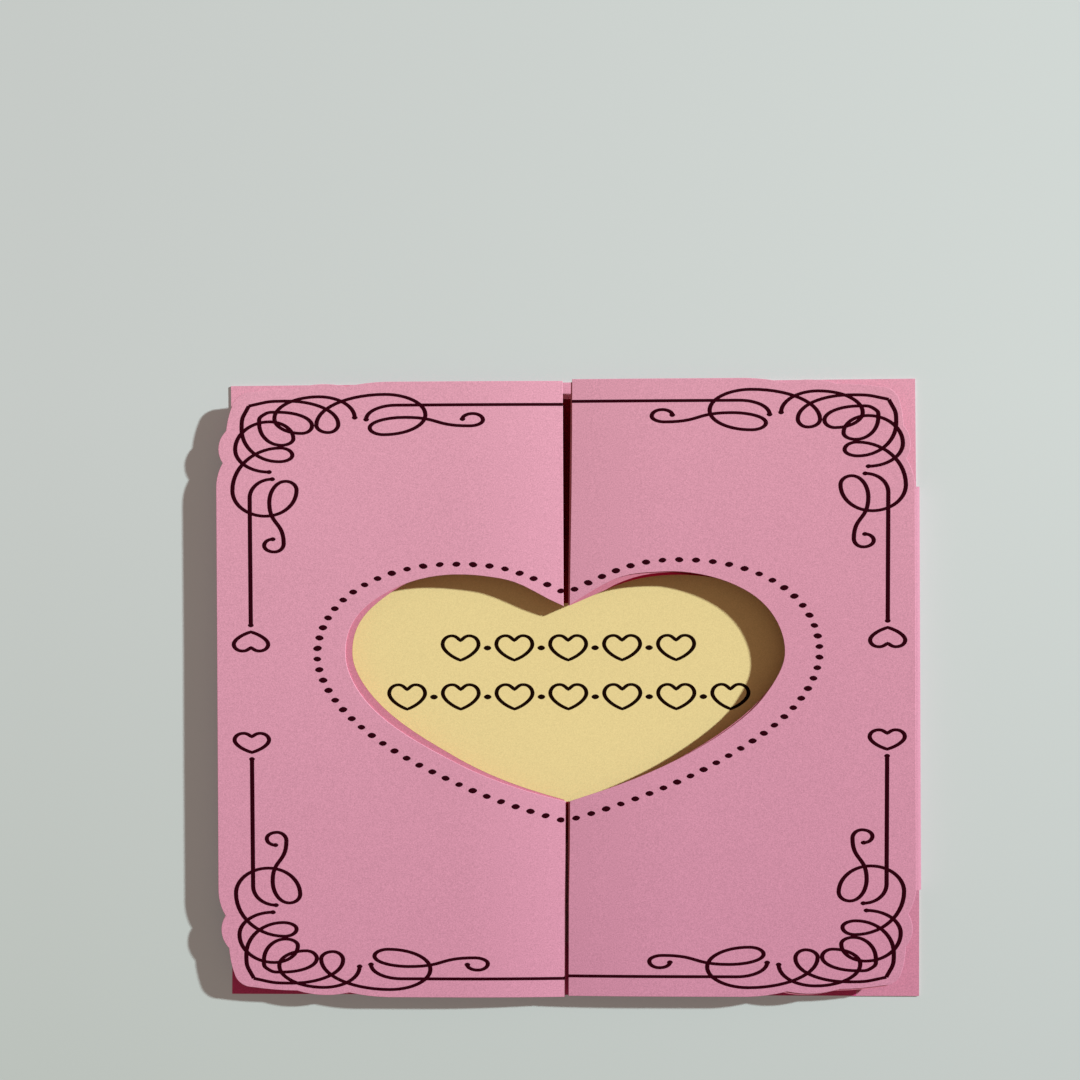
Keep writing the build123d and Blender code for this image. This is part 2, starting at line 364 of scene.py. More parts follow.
@dataclass(frozen=True)
class PaperFinish:
    """Finish of one paper or ink, with its tint at the card's top and bottom edges; a darker lower
    tint is painted shade.
    """

    name: str
    slot: Slot
    upper_tint: Colour
    lower_tint: Colour
    speckle: float = 1.0
    cloud: float = 0.04
    grain_per_mm: float = 4.6
    grain_depth: float = 0.007
    roughness: float = 0.85
    shine: float = 0.2

    def material(self, grain: PaperGrain) -> Material:
        """Make the material.

        Args:
            grain: The paper grain that all finishes share.

        Returns:
            The new material.
        """
        material = bpy.data.materials.new(self.name)
        material.use_nodes = True
        nodes = material.node_tree.nodes
        texture = nodes.new("ShaderNodeGroup")
        texture.node_tree = grain.tree
        feed(
            texture,
            {
                "Upper Tint": self.upper_tint,
                "Lower Tint": self.lower_tint,
                "Speckle": self.speckle,
                "Cloud": self.cloud,
                "Grain per mm": self.grain_per_mm,
            },
        )
        bump = nodes.new("ShaderNodeBump")
        depth = self.grain_depth * MM
        feed(bump, {"Strength": 1.0, "Distance": depth, "Height": texture.outputs["Height"]})
        feed(
            nodes["Principled BSDF"],
            {
                "Base Color": texture.outputs["Color"],
                "Roughness": self.roughness,
                "Specular IOR Level": self.shine,
                "Normal": bump.outputs["Normal"],
            },
        )
        return material


# Lower tints darker than the upper ones are painted shade, for light that falls off down the card.
PINK_STOCK = PaperFinish(
    "pink_stock", Slot.BASE_CARD, linear(222, 154, 172), linear(201, 128, 151)
)
# Darker, redder pink on the doors' faces.
DOOR_STOCK = PaperFinish(
    "door_pink_stock", Slot.BASE_CARD, linear(204, 125, 144), linear(198, 118, 136)
)
# Pale pink on the left sheet's cut edges: the printed paper's pale core, also painted lighter as a
# highlight along them.
PALE_CORE_AND_HIGHLIGHT = PaperFinish(
    "pale_core_and_painted_highlight", Slot.PRINTED_PINK, linear(226, 180, 194), linear(222, 174, 190)
)
LEFT_PINK = PaperFinish(
    "left_printed_pink", Slot.PRINTED_PINK, linear(219, 154, 172), linear(206, 139, 161)
)
# The right sheet's pink is the left's, painted a little darker as shade.
RIGHT_PINK = PaperFinish(
    "right_printed_pink", Slot.PRINTED_PINK, linear(217, 151, 169), linear(203, 136, 159)
)
CREAM_PAPER = PaperFinish(
    "cream_paper", Slot.CREAM_PAPER, linear(228, 207, 144), linear(229, 206, 144), speckle=0.5
)
SHEET_INK = PaperFinish(
    "sheet_ink", Slot.DARK_INK, linear(46, 6, 16), linear(44, 4, 14), shine=0.0
)
PANEL_INK = PaperFinish(
    "panel_ink", Slot.DARK_INK, linear(24, 10, 4), linear(24, 10, 4), shine=0.0
)
# Dark pink painted as shade: on the doors' cut edges, and where the gap between the doors shows the
# back panel and the cream panel.
PAINTED_SHADE_PINK = PaperFinish(
    "painted_shade_pink", Slot.BASE_CARD, linear(126, 14, 34), linear(126, 14, 34), shine=0.0
)
# Darker pink on the right fold: painted shade that tones down the highlight where the fold faces
# the lamp.
FOLD_PAINTED_SHADE = PaperFinish(
    "fold_painted_shade", Slot.BASE_CARD, linear(182, 126, 142), linear(172, 112, 130)
)
# Bright magenta that, lit only by the weak light round the card, reads as deep crimson: painted
# shade on the back panel's strip under the doors' lower edges.
PAINTED_SHADE_STOCK = PaperFinish(
    "painted_shade_stock", Slot.BASE_CARD, linear(216, 86, 140), linear(214, 80, 138)
)


@dataclass
class Paints:
    """The card's finishes, each made into a material once."""

    grain: PaperGrain = field(default_factory=PaperGrain)
    made: dict[str, Material] = field(default_factory=dict)

    def of(self, finish: PaperFinish) -> Material:
        """Find the material of a finish, or make it.

        Args:
            finish: The finish.

        Returns:
            Its material.
        """
        if finish.name not in self.made:
            self.made[finish.name] = finish.material(self.grain)
        return self.made[finish.name]


@dataclass
class Workshop:
    """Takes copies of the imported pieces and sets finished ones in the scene."""

    MERGE = 1e-4  # how near each other two points are one
    CREASE = math.radians(20)  # faces that meet at more than this show an edge

    nodes: dict[str, Object]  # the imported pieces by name
    paints: Paints

    def copy_of(self, node: str) -> BMesh:
        """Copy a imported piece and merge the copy's points.

        Args:
            node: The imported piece.

        Returns:
            The copy, in millimetres.
        """
        bm = bmesh.new()
        bm.from_mesh(self.nodes[node].data)
        bmesh.ops.scale(bm, vec=Vector((1, 1, 1)) / MM, verts=bm.verts)
        bmesh.ops.remove_doubles(bm, verts=bm.verts, dist=self.MERGE)
        return bm

    def box(self, node: str) -> tuple[Vector, Vector]:
        """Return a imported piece's lowest and highest corners, in millimetres."""
        low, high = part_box(node)
        return low / MM, high / MM

    def set_piece(self, bm: BMesh, name: str, finishes: Sequence[PaperFinish], node: str) -> None:
        """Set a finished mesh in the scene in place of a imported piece.

        Args:
            bm: The mesh, in millimetres. It is used up.
            name: The new piece's name.
            finishes: Its finishes, in the order of its faces' material numbers.
            node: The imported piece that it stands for.
        """
        for face in bm.faces:
            face.smooth = True
        for edge in bm.edges:
            edge.smooth = edge.calc_face_angle(math.pi) < self.CREASE
        bmesh.ops.scale(bm, vec=Vector((1, 1, 1)) * MM, verts=bm.verts)
        mesh = bpy.data.meshes.new(name)
        bm.to_mesh(mesh)
        bm.free()
        for finish in finishes:
            mesh.materials.append(self.paints.of(finish))
        piece = bpy.data.objects.new(name, mesh)
        bpy.context.scene.collection.objects.link(piece)
        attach(piece, BODY)
        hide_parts(node)
        LOG.info("%s stands for %s, %d faces", name, node, len(mesh.polygons))


def cut_across(bm: BMesh, places: list[float], axis: int) -> None:
    """Cut a mesh along planes square to one axis.

    Args:
        bm: The mesh.
        places: Where the planes cross the axis.
        axis: 0 for X, 1 for Y.
    """
    for place in places:
        point, normal = Vector(), Vector()
        point[axis], normal[axis] = place, 1.0
        parts = bm.verts[:] + bm.edges[:] + bm.faces[:]
        bmesh.ops.bisect_plane(bm, geom=parts, dist=CUT_REACH, plane_co=point, plane_no=normal)


def melt_flat(bm: BMesh) -> None:
    """Melt the triangles of each flat face into one."""
    bmesh.ops.dissolve_limit(bm, angle_limit=COPLANAR, verts=bm.verts[:], edges=bm.edges[:])


def steps_between(low: float, high: float, step: float) -> list[float]:
    """Return even places between two ends, about a step apart, without the ends."""
    count = max(2, round((high - low) / step))
    return [low + (high - low) * i / count for i in range(1, count)]


@dataclass
class FrontSheet:
    """Printed sheet on one door, in a fine grid that follows its curl and a slight cockle."""

    RIM_ANGLE = math.radians(60)  # faces that meet at more than this have a cut edge between

    side: Side
    node: str
    name: str
    curl_dip: float
    curl_run: float = 22.0
    gap_middle: float = -1.75
    finish: PaperFinish = LEFT_PINK
    # finish of the cut edges; the left sheet's pale one is partly a painted highlight
    rim_finish: PaperFinish = PALE_CORE_AND_HIGHLIGHT
    thickness: float = 0.25
    edge_round: float = 0.05
    grid_step: float = 2.0
    cockle_height: float = 0.05
    cockle_length: float = 24.0
    cockle_apart: float = 50.0  # keeps the two sheets' cockles unlike

    def drop(self, x: float) -> float:
        """Work out how far the sheet has curled down.

        Args:
            x: Place across the card.

        Returns:
            How far below the flat part of the sheet it lies.
        """
        into_curl = max(0.0, self.curl_run - abs(x - self.gap_middle))
        radius = (self.curl_run**2 + self.curl_dip**2) / (2 * self.curl_dip)
        return radius - math.sqrt(radius**2 - into_curl**2)

    def cockle(self, x: float, y: float) -> float:
        """Return how far damp has lifted the sheet at a place."""
        place = Vector((x, y, self.side.value * self.cockle_apart)) / self.cockle_length
        return self.cockle_height * (0.5 + 0.5 * noise.noise(place))

    def build(self, workshop: Workshop) -> BVHTree:
        """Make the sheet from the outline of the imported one.

        Args:
            workshop: Where pieces come from and go to.

        Returns:
            The sheet's surface, for the print to be laid on, in millimetres.
        """
        low, high = workshop.box(self.node)
        bm = workshop.copy_of(self.node)
        below = [face for face in bm.faces if face.normal.z < FACES_UP]
        bmesh.ops.delete(bm, geom=below, context="FACES")
        bmesh.ops.dissolve_faces(bm, faces=bm.faces[:])
        for vert in bm.verts:
            vert.co = nudged(vert.co, SHEET_NUDGES[self.side])
            vert.co.z = high.z
        bmesh.ops.solidify(bm, geom=bm.faces[:], thickness=self.thickness)
        bmesh.ops.recalc_face_normals(bm, faces=bm.faces[:])
        top = max(vert.co.z for vert in bm.verts)
        bmesh.ops.translate(bm, verts=bm.verts, vec=(0, 0, high.z - top))
        rims = [edge for edge in bm.edges if self._is_rim(edge)]
        bmesh.ops.bevel(
            bm, geom=rims, offset=self.edge_round, offset_type="OFFSET", segments=1,
            profile=0.5, affect="EDGES", clamp_overlap=False, material=-1,
        )
        cut_across(bm, steps_between(low.x, high.x, self.grid_step), 0)
        cut_across(bm, steps_between(low.y, high.y, self.grid_step), 1)
        for vert in bm.verts:
            vert.co.z += self.cockle(vert.co.x, vert.co.y) - self.drop(vert.co.x)
        for face in bm.faces:
            # cut edges take the rim finish
            face.material_index = int(abs(face.normal.z) < FACES_SIDEWAYS)
        bmesh.ops.triangulate(bm, faces=bm.faces[:])
        surface = BVHTree.FromBMesh(bm)
        workshop.set_piece(bm, self.name, [self.finish, self.rim_finish], self.node)
        return surface

    def _is_rim(self, edge: BMEdge) -> bool:
        """Tell whether an edge is where the sheet was cut."""
        return edge.calc_face_angle(0.0) > self.RIM_ANGLE and (
            max(abs(face.normal.z) for face in edge.link_faces) > FACES_UP
        )


@dataclass
class FoldedBase:
    """Folded base sheet: its back panel, its folds, and the doors under the front sheets."""

    FINISHES = (PINK_STOCK, DOOR_STOCK, PAINTED_SHADE_PINK, FOLD_PAINTED_SHADE, PAINTED_SHADE_STOCK)

    node: str = "card_base"
    name: str = "folded_base"
    fold_radius: float = 2.0
    support: float = 0.4  # how close beside a fold's ends the flat is cut again
    grid: tuple[float, float] = (3.0, 6.0)
    back_level: float = 0.35  # between the back panel's top and what lies higher
    door_level: float = 2.5  # between the folds' middle and the doors
    door_middle: float = 3.85  # half way through a door
    edge_slope: Nudge = Nudge((17.5, 23.3), (0.0, -0.6), (17.0, 12.0))
    gap_strip: tuple[float, float] = (-2.7, 0.4)  # what the gap shows of the back panel, painted dark as shade
    gap_reach: tuple[float, float] = (31.0, 59.0)
    shaded: tuple[float, float] = (48.0, -52.0)  # right and upper side of the lower strip painted as deep shade
    # right and upper side of the painted shade under the right sheet's lower edge
    shaded_edge: tuple[float, float] = (57.0, -60.5)

    def build(self, workshop: Workshop) -> None:
        """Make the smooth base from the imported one.

        Args:
            workshop: Where pieces come from and go to.
        """
        low, high = workshop.box(self.node)
        bm = workshop.copy_of(self.node)
        melt_flat(bm)
        inner = high.x - self.fold_radius
        self._follow_sheets(bm)
        places = steps_between(-inner + self.support, inner - self.support, self.grid[0])
        beside = [-inner, -inner + self.support, inner - self.support, inner]
        shaded = list(zip(self.shaded, self.shaded_edge))
        cut_across(bm, sorted([*places, *beside, *self.gap_strip, *shaded[0]]), 0)
        ends = [*self.gap_reach, *shaded[1]]
        cut_across(bm, sorted(steps_between(low.y, high.y, self.grid[1]) + ends), 1)
        for face in bm.faces:
            face.material_index = self.FINISHES.index(self._finish_of(face, inner))
        bmesh.ops.triangulate(bm, faces=bm.faces[:])
        workshop.set_piece(bm, self.name, self.FINISHES, self.node)

    def _finish_of(self, face: BMFace, inner: float) -> PaperFinish:
        """Choose a face's finish by where it is.

        Args:
            face: The face.
            inner: Where the folds start, out from the card's middle.

        Returns:
            The finish.
        """
        middle = face.calc_center_median()
        if middle.z > self.door_level and abs(middle.x) < inner:
            # the doors' faces take their darker stock; their cut edges are painted dark as shade
            return DOOR_STOCK if abs(face.normal.z) > FACES_UP else PAINTED_SHADE_PINK
        # the right fold is painted darker, as shade on its highlight
        if middle.x > inner and middle.z > self.back_level:
            return FOLD_PAINTED_SHADE
        if face.normal.z < FACES_UP:
            return PINK_STOCK
        # the back panel that the gap shows is painted dark as shade
        across, up = self.gap_strip, self.gap_reach
        if across[0] < middle.x < across[1] and up[0] < middle.y < up[1]:
            return PAINTED_SHADE_PINK
        # the back panel's lower strip, under the doors' lower edges, is painted as deep shade
        in_shade = any(
            middle.x < side and middle.y < top for side, top in (self.shaded, self.shaded_edge)
        )
        return PAINTED_SHADE_STOCK if in_shade else PINK_STOCK

    def _follow_sheets(self, bm: BMesh) -> None:
        """Move the doors' rims round the window with the sheets' rims, and the back's corners.

        Args:
            bm: The base.
        """
        for vert in bm.verts:
            if vert.co.z < self.back_level:
                vert.co = nudged(vert.co, BACK_NUDGES)
            elif vert.co.z > self.door_level:
                vert.co = nudged(vert.co, DOOR_NUDGES)
                if vert.co.z < self.door_middle:
                    vert.co += self.edge_slope.shift(vert.co)


@dataclass
class CreamPanel:
    """Cream panel, with a strip painted dark pink as shade where only the gap between the doors
    shows it.
    """

    node: str = "inner_panel"
    name: str = "cream_panel"
    strip: tuple[float, float] = (-2.7, -0.7)
    window: tuple[float, float] = (-23.2, 17.3)

    def build(self, workshop: Workshop) -> None:
        """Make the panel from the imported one.

        Args:
            workshop: Where pieces come from and go to.
        """
        bm = workshop.copy_of(self.node)
        melt_flat(bm)
        cut_across(bm, list(self.strip), 0)
        cut_across(bm, list(self.window), 1)
        for face in bm.faces:
            middle = face.calc_center_median()
            in_strip = self.strip[0] < middle.x < self.strip[1]
            in_window = self.window[0] < middle.y < self.window[1]
            # outside the window, the strip under the gap is painted dark as shade
            face.material_index = int(in_strip and not in_window)
        bmesh.ops.triangulate(bm, faces=bm.faces[:])
        workshop.set_piece(bm, self.name, [CREAM_PAPER, PAINTED_SHADE_PINK], self.node)


@dataclass(frozen=True)
class Heart:
    """Outline of a heart, in the same proportions for every heart on the card."""

    FINE_STEPS = 120  # points along an arc when spots are placed

    half_width: float
    top: float
    cleft: float
    tip: float
    lobe: float = 0.49
    shoulder: float = 0.65
    belly: float = 0.32
    lobe_lead: float = 0.22
    cleft_lead: float = 0.2
    cleft_rise: float = 0.62
    tip_lead: float = 0.59
    tip_rise: float = 0.245

    def right_half(self) -> list[Arc]:
        """Work out the right half's arcs.

        Returns:
            The arcs, from the cleft over the lobe to the tip.
        """
        wide, top = self.half_width, self.top
        lobe_x = self.lobe * wide
        side_y = self.tip + self.shoulder * (top - self.tip)
        drop = side_y - self.tip
        lead_y = self.cleft + self.cleft_rise * (top - self.cleft)
        row = (
            (0, self.cleft),
            (self.cleft_lead * wide, lead_y),
            (lobe_x - self.lobe_lead * wide, top),
            (lobe_x, top),
            (lobe_x + ROUND_TURN * (wide - lobe_x), top),
            (wide, side_y + ROUND_TURN * (top - side_y)),
            (wide, side_y),
            (wide, side_y - self.belly * drop),
            (self.tip_lead * wide, self.tip + self.tip_rise * drop),
            (0, self.tip),
        )
        points = [Vector((x, y, 0)) for x, y in row]
        return [tuple(points[i : i + 4]) for i in (0, 3, 6)]

    def outline(self) -> list[Arc]:
        """Work out the whole outline's arcs.

        Returns:
            The arcs, round from the cleft and back to it.
        """
        right = self.right_half()
        flip = Matrix.Diagonal((-1, 1, 1))
        left = [tuple(flip @ point for point in reversed(arc)) for arc in reversed(right)]
        return right + left

    def spots(self, count: int) -> list[Vector]:
        """Return evenly spaced points along the right half.

        Args:
            count: How many there are. The first and last are half a step from the ends.

        Returns:
            The points.
        """
        line = [self.right_half()[0][0]]
        for start, leave, arrive, end in self.right_half():
            line += geometry.interpolate_bezier(start, leave, arrive, end, self.FINE_STEPS)[1:]
        runs = [(after - before).length for before, after in zip(line, line[1:])]
        step = sum(runs) / count
        found, passed = [], 0.0
        for before, after, run in zip(line, line[1:], runs):
            while len(found) < count and (len(found) + 0.5) * step <= passed + run:
                share = ((len(found) + 0.5) * step - passed) / run
                found.append(before.lerp(after, share))
            passed += run
        return found


@dataclass
class Pen:
    """Pen whose drawing is spread sideways. Its print lies very thin on the paper."""

    width: float
    spread: float = 1.6
    nib: float = 1.42  # how many times wider it is across the card than up the card
    rise: float = 0.03
    steps: int = 14
    round_steps: int = 2
    rule_step: float = 12.0
    dot_rounds: tuple[int, int] = (12, 4)
    dot_point: float = 0.22  # how much flatter a dot is at its left and right

    def draw(self, bm: BMesh, paths: list[list[Arc]], place: Matrix, closed: bool = False) -> None:
        """Draw strokes along paths.

        Args:
            bm: The print that they are added to.
            paths: Arcs of each stroke, one after another, before the spread.
            place: Where the drawing's origin goes.
            closed: Whether each stroke ends where it starts.
        """
        curve = bpy.data.curves.new("pen", "CURVE")
        curve.dimensions = "3D"
        curve.twist_mode = "Z_UP"
        curve.bevel_depth = self.width / 2
        curve.bevel_resolution = self.round_steps
        curve.use_fill_caps = True
        for arcs in paths:
            self._add_spline(curve, arcs, closed)
        holder = bpy.data.objects.new("pen", curve)
        mesh = bpy.data.meshes.new_from_object(holder)
        thin_and_wide = Matrix.Diagonal((self.nib, 1, 2 * self.rise / self.width, 1))
        mesh.transform(place @ thin_and_wide)
        bm.from_mesh(mesh)
        bpy.data.objects.remove(holder)
        bpy.data.curves.remove(curve)
        bpy.data.meshes.remove(mesh)

    def _add_spline(self, curve: Curve, arcs: list[Arc], closed: bool) -> None:
        """Add one stroke to the curve.

        Args:
            curve: The curve.
            arcs: The stroke's arcs.
            closed: Whether it ends where it starts.
        """
        spline = curve.splines.new("BEZIER")
        spline.bezier_points.add(len(arcs) - (1 if closed else 0))
        spline.resolution_u = self.steps
        spline.use_cyclic_u = closed
        for point in spline.bezier_points:
            point.handle_left_type = point.handle_right_type = "FREE"
        points = spline.bezier_points
        spread = Matrix.Diagonal((self.spread / self.nib, 1, 1))
        for i, arc in enumerate(arcs):
            start, leave, arrive, end = (spread @ point for point in arc)
            after = points[(i + 1) % len(points)]
            points[i].co, points[i].handle_right = start, leave
            after.co, after.handle_left = end, arrive
        if not closed:
            points[0].handle_left = points[0].co
            points[-1].handle_right = points[-1].co

    def rule(self, bm: BMesh, start: Vector, end: Vector, place: Matrix) -> None:
        """Draw a straight rule, in short steps so that it can follow the paper.

        Args:
            bm: The print that it is added to.
            start: One end, before the spread.
            end: The other end.
            place: Where the drawing's origin goes.
        """
        count = max(1, round((end - start).length / self.rule_step))
        stops = [start.lerp(end, i / count) for i in range(count + 1)]
        arcs = [
            (before, before.lerp(after, 1 / 3), before.lerp(after, 2 / 3), after)
            for before, after in zip(stops, stops[1:])
        ]
        self.draw(bm, [arcs], place)

    def dot(self, bm: BMesh, size: tuple[float, float], place: Matrix) -> None:
        """Print a thin oval dot that is slightly pointed to its left and right.

        Args:
            bm: The print that it is added to.
            size: Its width and height.
            place: Where its middle goes.
        """
        around, along = self.dot_rounds
        made = bmesh.ops.create_uvsphere(bm, u_segments=around, v_segments=along, radius=1.0)
        for vert in made["verts"]:
            vert.co.y *= 1 - self.dot_point * vert.co.x**2
        shape = Matrix.Diagonal((size[0] / 2, size[1] / 2, self.rise, 1))
        bmesh.ops.transform(bm, matrix=place @ shape, verts=made["verts"])


@dataclass
class CornerScrolls:
    """Scrolls at one corner of the border, drawn inwards from the corner of its frame.

    Each stroke is listed by the points where it turns, with the direction in which the pen runs
    there. It is drawn once as listed and once mirrored about the corner's diagonal.
    """

    pen: Pen
    end_width: float = 0.86
    rule_start: float = 18.8
    hook_end: tuple[float, float] = (14.95, 2.9)
    long_scroll: tuple[Turn, ...] = (
        ((0, 0), (0.9487, -0.3162)),
        ((4.85, -0.95), LEVEL),
        ((11.4, 3.8), UPRIGHT),
        ((10.1, 5.5), LEVEL),
        ((8.6, 3.95), UPRIGHT),
        ((17.3, -2.2), LEVEL),
        ((22.5, 2.0), UPRIGHT),
        ((17.2, 6.0), LEVEL),
        ((15.4, 4.6), UPRIGHT),
        ((19.8, 2.5), LEVEL),
        ((28.1, 4.3), LEVEL),
        ((29.8, 3.1), UPRIGHT),
        ((28.5, 1.8), LEVEL),
        ((27.2, 2.9), UPRIGHT),
    )
    inner_scroll: tuple[Turn, ...] = (
        ((1.85, 1.85), (0.7071, -0.7071)),
        ((3.7, 1.3), LEVEL),
        ((8.05, 4.1), UPRIGHT),
        ((6.7, 5.65), LEVEL),
        ((3.25, 2.6), UPRIGHT),
        ((8.9, -1.8), LEVEL),
        ((13.5, 2.5), UPRIGHT),
    )

    def _arcs(self, turns: tuple[Turn, ...]) -> list[Arc]:
        """Work out a stroke's arcs.

        Args:
            turns: The stroke's turning points.

        Returns:
            The arcs, from one turning point to the next.
        """
        arcs = []
        for (start, start_run), (end, end_run) in zip(turns, turns[1:]):
            first, last = Vector((*start, 0)), Vector((*end, 0))
            leave_run, arrive_run = Vector((*start_run, 0)), Vector((*end_run, 0))
            reach = (last - first) * ROUND_TURN
            leave = first + leave_run * reach.dot(leave_run)
            arrive = last - arrive_run * reach.dot(arrive_run)
            arcs.append((first, leave, arrive, last))
        return arcs

    def draw(self, bm: BMesh, corner: Matrix) -> None:
        """Draw the scrolls.

        Args:
            bm: The print that they are added to.
            corner: Turns the corner's own directions into the card's.
        """
        swap = Matrix(((0, 1, 0), (1, 0, 0), (0, 0, 1)))
        rule_hook = (((self.rule_start, 0), LEVEL), (self.hook_end, UPRIGHT))
        for turns in (self.long_scroll, self.inner_scroll, rule_hook):
            arcs = self._arcs(turns)
            swapped = [tuple(swap @ point for point in arc) for arc in arcs]
            self.pen.draw(bm, [arcs, swapped], corner)
            for end in (arcs[-1][-1], swapped[-1][-1]):
                place = Matrix.Translation((end.x * self.pen.spread, end.y, 0))
                self.end_dot(bm, corner @ place)

    def end_dot(self, bm: BMesh, place: Matrix) -> None:
        """Print the dot in which a stroke ends.

        Args:
            bm: The print that it is added to.
            place: Where its middle goes.
        """
        self.pen.dot(bm, (self.end_width * self.pen.nib, self.end_width), place)


@dataclass
class FrontPrint:
    """Ink of the two front sheets: the border, its hearts, and the dotted heart."""

    ABOVE = 5.0  # a height over both sheets, from where the print is lowered

    pen: Pen = field(default_factory=lambda: Pen(width=0.62))
    left_margin: float = 6.67
    right_margin: float = 5.97
    end_margin: float = 4.1
    frame_drop: float = 0.5
    rule_stop: float = 13.65
    side_heart: Heart = Heart(half_width=2.2, top=3.9, cleft=3.2, tip=0.0)
    side_heart_tip: float = 12.3
    ring: Heart = Heart(half_width=31.75, top=26.0, cleft=19.1, tip=-27.0)
    ring_centre: float = -1.25
    ring_dots: int = 44
    dot_size: tuple[float, float] = (1.72, 1.1)
    unevenness: float = 0.07
    dot_turn: float = 0.15  # radians
    past_gap: float = 1.0  # how far beyond the gap's left edge dots are still printed
    gap_left: float = -2.1
    gap_top: float = 1.9  # width of the gap at the top, the cleft and the bottom
    gap_cleft: float = 1.2
    gap_bottom: float = 0.7
    cleft_y: float = 16.7
    lift: float = 0.012

    def build(self, workshop: Workshop, surfaces: dict[Side, BVHTree]) -> None:
        """Draw the whole print, part it at the gap, and lay each half on its sheet.

        Args:
            workshop: Where pieces come from and go to.
            surfaces: The two sheets' surfaces.
        """
        left_low, left_high = workshop.box("left_front_panel")
        right_high = workshop.box("right_front_panel")[1]
        for side, name, node in (
            (Side.LEFT, "left_ink", "left_print"),
            (Side.RIGHT, "right_ink", "right_print"),
        ):
            bm = bmesh.new()
            self._border(bm, side, left_low.x, right_high.x, left_high.y - left_low.y)
            for vert in bm.verts:
                vert.co += BORDER_DRIFT[side].shift(vert.co)
            self._ring(bm, side)
            self._part_at_gap(bm, side, left_high.y)
            bmesh.ops.recalc_face_normals(bm, faces=bm.faces[:])
            self._lay(bm, surfaces[side])
            workshop.set_piece(bm, name, [SHEET_INK], node)

    def _border(self, bm: BMesh, side: Side, left: float, right: float, height: float) -> None:
        """Draw one side's border: two corners, the rules and the hearts.

        Args:
            bm: The print that it is added to.
            side: Which door it is on.
            left: The left sheet's outer side.
            right: The right sheet's outer side.
            height: The sheets' height.
        """
        frame_left, frame_right = left + self.left_margin, right - self.right_margin
        middle = (frame_left + frame_right) / 2
        half_width = (frame_right - frame_left) / 2
        half_height = height / 2 - self.end_margin
        scrolls = CornerScrolls(self.pen)
        for end in (-1, 1):
            origin = Matrix.Translation((middle, -self.frame_drop, 0))
            mirrored = Matrix.Diagonal((-side.value, -end, 1, 1))
            corner_place = (side.value * half_width, end * half_height, 0)
            corner = origin @ Matrix.Translation(corner_place) @ mirrored
            scrolls.draw(bm, corner)
            start = scrolls.rule_start
            reach = half_width / self.pen.spread
            self.pen.rule(bm, Vector((start, 0, 0)), Vector((reach, 0, 0)), corner)
            stop = half_height - self.rule_stop
            self.pen.rule(bm, Vector((0, start, 0)), Vector((0, stop, 0)), corner)
            scrolls.end_dot(bm, corner @ Matrix.Translation((0, stop, 0)))
            tip = Matrix.Translation((0, half_height - self.side_heart_tip, 0))
            self.pen.draw(bm, [self.side_heart.outline()], corner @ tip, closed=True)

    def _ring(self, bm: BMesh, side: Side) -> None:
        """Print one side's half of the dotted heart.

        Args:
            bm: The print that it is added to.
            side: Which door it is on.
        """
        draw = random.Random(side.value)
        for both in (-1, 1):
            for spot in self.ring.spots(self.ring_dots):
                x = self.ring_centre + both * spot.x * self.pen.spread
                grow = 1 + draw.uniform(-self.unevenness, self.unevenness)
                turn = Matrix.Rotation(draw.uniform(-self.dot_turn, self.dot_turn), 4, "Z")
                if (x - self.gap_left) * side.value > -self.past_gap:
                    size = (self.dot_size[0] * grow, self.dot_size[1] * grow)
                    middle = nudged(Vector((x, spot.y, 0)), RING_NUDGES[side])
                    self.pen.dot(bm, size, Matrix.Translation(middle) @ turn)

    def _part_at_gap(self, bm: BMesh, side: Side, top: float) -> None:
        """Cut away what lies in the gap or beyond it.

        Args:
            bm: The print.
            side: Which door it is on.
            top: Height of the sheets' top edge above the card's middle.
        """
        if side is Side.LEFT:
            start, end = Vector((self.gap_left, -top, 0)), Vector((self.gap_left, top, 0))
            self._trim(bm, start, end, -math.inf, math.inf, keep_right=False)
            return
        bottom = Vector((self.gap_left + self.gap_bottom, -top, 0))
        cleft = Vector((self.gap_left + self.gap_cleft, self.cleft_y, 0))
        summit = Vector((self.gap_left + self.gap_top, top, 0))
        self._trim(bm, bottom, cleft, -math.inf, self.cleft_y, keep_right=True)
        self._trim(bm, cleft, summit, self.cleft_y, math.inf, keep_right=True)

    @staticmethod
    def _trim(
        bm: BMesh, start: Vector, end: Vector, low: float, high: float, keep_right: bool
    ) -> None:
        """Cut the print between two heights along a line up the card.

        Args:
            bm: The print.
            start: The line's lower point.
            end: Its upper point.
            low: Lowest height at which faces are cut.
            high: Highest height at which they are.
            keep_right: Whether what lies to the line's right stays.
        """
        faces = [face for face in bm.faces if low < face.calc_center_median().y <= high]
        edges = {edge for face in faces for edge in face.edges}
        verts = {vert for face in faces for vert in face.verts}
        run = end - start
        bmesh.ops.bisect_plane(
            bm, geom=[*verts, *edges, *faces], dist=CUT_REACH, plane_co=start,
            plane_no=Vector((run.y, -run.x, 0)), clear_inner=keep_right, clear_outer=not keep_right,
        )
        open_edges = [edge for edge in bm.edges if edge.is_boundary]
        bmesh.ops.holes_fill(bm, edges=open_edges, sides=0)

    def _lay(self, bm: BMesh, surface: BVHTree) -> None:
        """Lay the print on a sheet.

        Args:
            bm: The print, drawn about height 0.
            surface: The sheet's surface.
        """
        for vert in bm.verts:
            above = Vector((vert.co.x, vert.co.y, self.ABOVE))
            place = surface.ray_cast(above, Vector((0, 0, -1)))[0]
            if place is None:
                place = surface.find_nearest(above)[0]
            vert.co.z += place.z + self.lift


